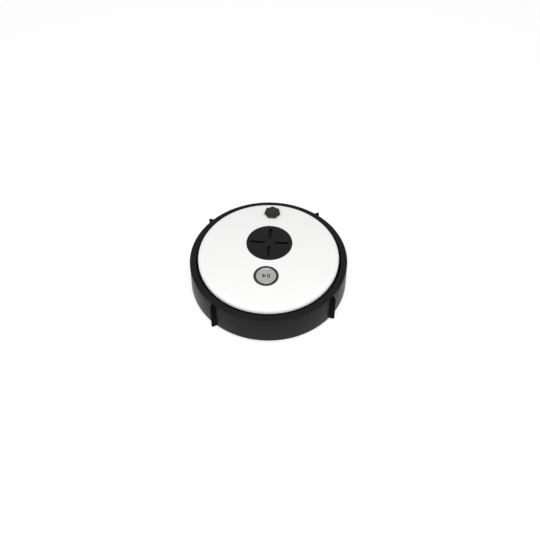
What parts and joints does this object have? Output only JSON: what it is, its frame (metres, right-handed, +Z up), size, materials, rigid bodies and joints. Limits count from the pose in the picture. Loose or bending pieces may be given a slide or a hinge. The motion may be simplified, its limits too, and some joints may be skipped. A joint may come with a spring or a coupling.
{
  "type": "robot vacuum",
  "caption": "Low round floor-cleaning robot: glossy white crowned cover in a black finned bumper ring, with a cross-slotted dust cup cap, a round start button and a star knob.",
  "frame": {"origin": "on the floor under the middle of the bumper ring", "axes": "+Y is the way it drives, towards the star knob and the caster; +Z up; +X to its right seen from above with +Y away"},
  "size_m": [0.3468, 0.3468, 0.0951],
  "materials": {
    "cover_white": "smooth high gloss, faint moulding ripple",
    "ring_black": "fine satin grain",
    "fin_black": "matt soft rubber",
    "cap_black": "satin, fine turned rings",
    "knob_black": "satin with polished edges",
    "button_silver": "spun with fine rings",
    "bezel_dark": "polished",
    "symbol_dark": "raised print",
    "tray_black": "spark-eroded texture",
    "inner_grey": "plain moulded",
    "cup_smoke": "smoked clear plastic",
    "filter_blue": "plain moulded",
    "filter_paper": "pleated paper",
    "seal_rubber": "matt",
    "tyre_rubber": "matt with treads",
    "hub_grey": "satin",
    "caster_white": "satin",
    "steel": "ground",
    "motor_steel": "drawn can",
    "fan_clear": "satin",
    "bristle_green": "nylon tufts and rubber blades",
    "side_bristle": "nylon tufts",
    "gear_nylon": "natural nylon",
    "brass": "turned",
    "contact_plate": "plated",
    "board_green": "solder mask",
    "battery_wrap": "shrink wrap",
    "sensor_window": "dark clear window",
    "slider_red": "satin"
  },
  "bodies": {
    "base": {"base_tray": "tray_black", "top_cover": "cover_white", "bumper_switches": "inner_grey", "cup_seal": "seal_rubber", "fan_housing": "inner_grey", "fan_motor": "motor_steel", "intake_duct": "inner_grey", "button_bezel": "bezel_dark", "button_switch": "inner_grey", "knob_encoder": "inner_grey", "circuit_board": "board_green", "battery_pack": "battery_wrap", "battery_door": "tray_black", "charge_contacts": "contact_plate", "cliff_sensors": "sensor_window", "power_switch": "inner_grey", "case_screws": "steel", "door_screws": "steel", "left_pivot_pin": "steel", "left_spring": "steel", "right_pivot_pin": "steel", "right_spring": "steel", "brush_motor": "motor_steel", "brush_bearings": "brass", "brush_housing": "inner_grey", "brush_guard": "tray_black", "wiper_lip": "seal_rubber", "left_side_motor": "motor_steel", "right_side_motor": "motor_steel"},
    "bumper": {"bumper_ring": "ring_black", "bumper_fins": "fin_black"},
    "button": {"start_button": "button_silver", "button_symbol": "symbol_dark"},
    "knob": {"mode_knob": "knob_black"},
    "cup": {"dust_cup": "cup_smoke", "filter_frame": "filter_blue", "cup_filter": "filter_paper"},
    "cap": {"dust_cap": "cap_black"},
    "fan": {"fan_impeller": "fan_clear"},
    "left_arm": {"left_gearbox": "inner_grey", "left_motor": "motor_steel"},
    "right_arm": {"right_gearbox": "inner_grey", "right_motor": "motor_steel"},
    "left_wheel": {"left_hub": "hub_grey", "left_tyre": "tyre_rubber", "left_axle": "steel"},
    "right_wheel": {"right_hub": "hub_grey", "right_tyre": "tyre_rubber", "right_axle": "steel"},
    "caster": {"caster_fork": "inner_grey", "caster_axle": "steel"},
    "caster_roller": {"caster_wheel": "caster_white"},
    "roller": {"brush_roller": "bristle_green", "brush_gear": "gear_nylon"},
    "pinion": {"brush_pinion": "brass"},
    "left_brush": {"left_side_brush": "side_bristle"},
    "right_brush": {"right_side_brush": "side_bristle"},
    "slider": {"power_slider": "slider_red"}
  },
  "joints": [
    {"name": "bumper_push", "type": "slide", "parent": "base", "child": "bumper", "axis": [0, -1, 0], "range_m": [0, 0.0035], "stiffness_N_per_m": 600, "springref_m": -0.0005},
    {"name": "button_press", "type": "slide", "parent": "base", "child": "button", "axis": [0, 0, -1], "range_m": [0, 0.0012], "stiffness_N_per_m": 500, "springref_m": -0.001},
    {"name": "knob_turn", "type": "hinge", "parent": "base", "child": "knob", "pos_m": [0, 0.118, 0.09], "axis": [0, 0, 1], "range_deg": [-135, 135]},
    {"name": "cup_lift", "type": "slide", "parent": "base", "child": "cup", "axis": [0, 0, 1], "range_m": [0, 0.07]},
    {"name": "cap_turn", "type": "hinge", "parent": "cup", "child": "cap", "pos_m": [0, 0.0255, 0.09], "axis": [0, 0, 1], "range_deg": [0, 40]},
    {"name": "fan_spin", "type": "hinge", "parent": "base", "child": "fan", "pos_m": [0, 0.0255, 0.024], "axis": [0, 0, 1], "continuous": true},
    {"name": "left_arm_drop", "type": "hinge", "parent": "base", "child": "left_arm", "pos_m": [-0.096, -0.06, 0.036], "axis": [-1, 0, 0], "range_deg": [0, 18], "stiffness_Nm_per_rad": 0.25, "springref_deg": 51.57},
    {"name": "right_arm_drop", "type": "hinge", "parent": "base", "child": "right_arm", "pos_m": [0.096, -0.06, 0.036], "axis": [-1, 0, 0], "range_deg": [0, 18], "stiffness_Nm_per_rad": 0.25, "springref_deg": 51.57},
    {"name": "left_wheel_spin", "type": "hinge", "parent": "left_arm", "child": "left_wheel", "pos_m": [-0.118, -0.01, 0.033], "axis": [1, 0, 0], "continuous": true},
    {"name": "right_wheel_spin", "type": "hinge", "parent": "right_arm", "child": "right_wheel", "pos_m": [0.118, -0.01, 0.033], "axis": [1, 0, 0], "continuous": true},
    {"name": "caster_swivel", "type": "hinge", "parent": "base", "child": "caster", "pos_m": [0, 0.1415, 0.03], "axis": [0, 0, 1], "continuous": true},
    {"name": "caster_roll", "type": "hinge", "parent": "caster", "child": "caster_roller", "pos_m": [0, 0.1355, 0.01], "axis": [1, 0, 0], "continuous": true},
    {"name": "roller_spin", "type": "hinge", "parent": "base", "child": "roller", "pos_m": [0, 0.095, 0.021], "axis": [1, 0, 0], "continuous": true},
    {"name": "pinion_spin", "type": "hinge", "parent": "base", "child": "pinion", "pos_m": [0.075, 0.08651, 0.02949], "axis": [1, 0, 0], "continuous": true},
    {"name": "left_brush_spin", "type": "hinge", "parent": "base", "child": "left_brush", "pos_m": [-0.112, 0.088, 0.01], "axis": [0, 0, 1], "continuous": true},
    {"name": "right_brush_spin", "type": "hinge", "parent": "base", "child": "right_brush", "pos_m": [0.112, 0.088, 0.01], "axis": [0, 0, 1], "continuous": true},
    {"name": "power_slide", "type": "slide", "parent": "base", "child": "slider", "axis": [1, 0, 0], "range_m": [0, 0.006]}
  ],
  "couplings": [
    {"joint": "pinion_spin", "follows": "roller_spin", "ratio": -1.4}
  ]
}
